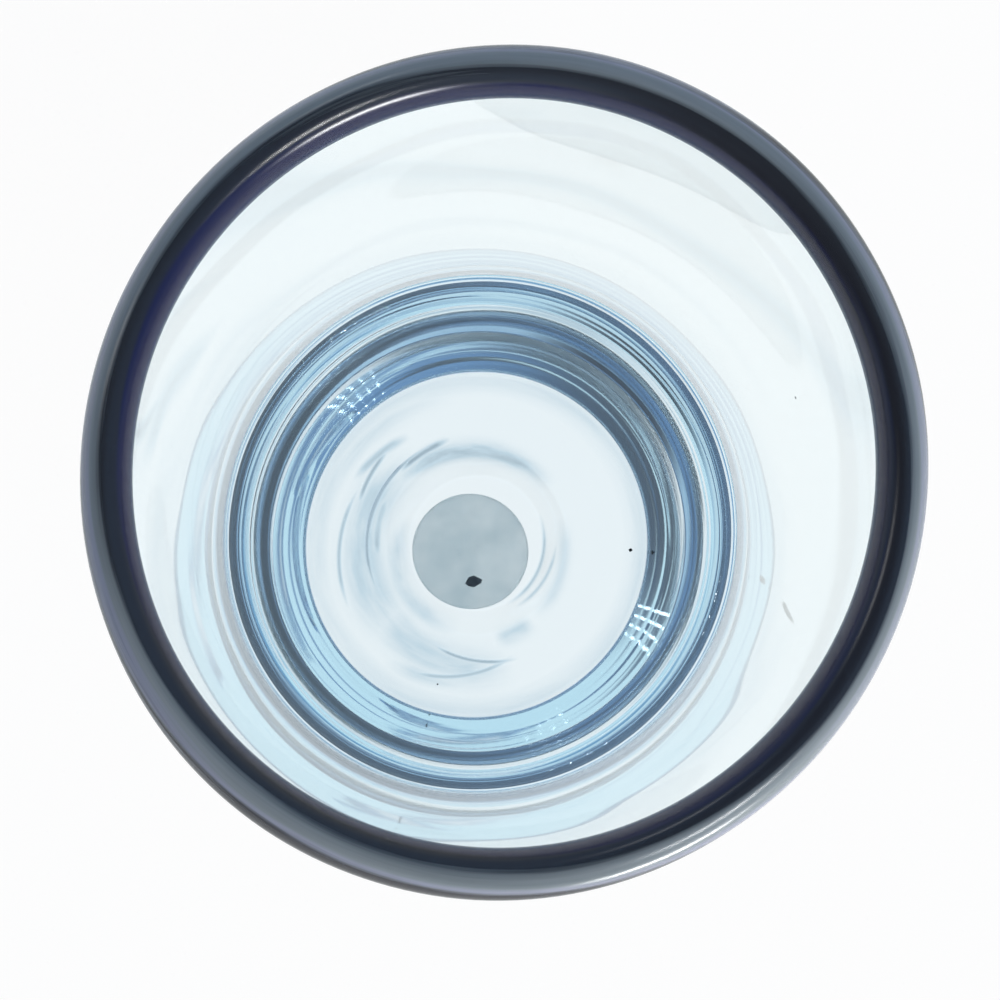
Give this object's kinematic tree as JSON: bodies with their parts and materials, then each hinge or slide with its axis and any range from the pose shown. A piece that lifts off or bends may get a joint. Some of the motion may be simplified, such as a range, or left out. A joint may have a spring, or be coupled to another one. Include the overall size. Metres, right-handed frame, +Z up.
{
  "type": "liqueur glass",
  "caption": "Small stemless hand-blown liqueur glass with a clear tapered bowl, a thick foot wound with glass rings and a dark blue lip.",
  "frame": {"origin": "centre of the foot's underside, on the surface that the glass stands on", "axes": "+Z up along the glass's axis, towards the mouth; +X is the picture's right and +Y its top, which only the off-centre pontil wad tells apart"},
  "size_m": [0.06, 0.06, 0.07],
  "materials": {
    "clear_glass": "fire-polished clear glass with a pale aqua tint",
    "lip_glass": "fire-polished dark cobalt glass",
    "frosted_glass": "rough broken-off pontil glass, ground lightly"
  },
  "bodies": {
    "root": {"lip_wrap": "lip_glass", "bowl": "clear_glass", "foot": "clear_glass", "foot_ring_1": "clear_glass", "foot_ring_2": "clear_glass", "foot_ring_3": "clear_glass", "pontil_wad": "frosted_glass"}
  },
  "joints": []
}
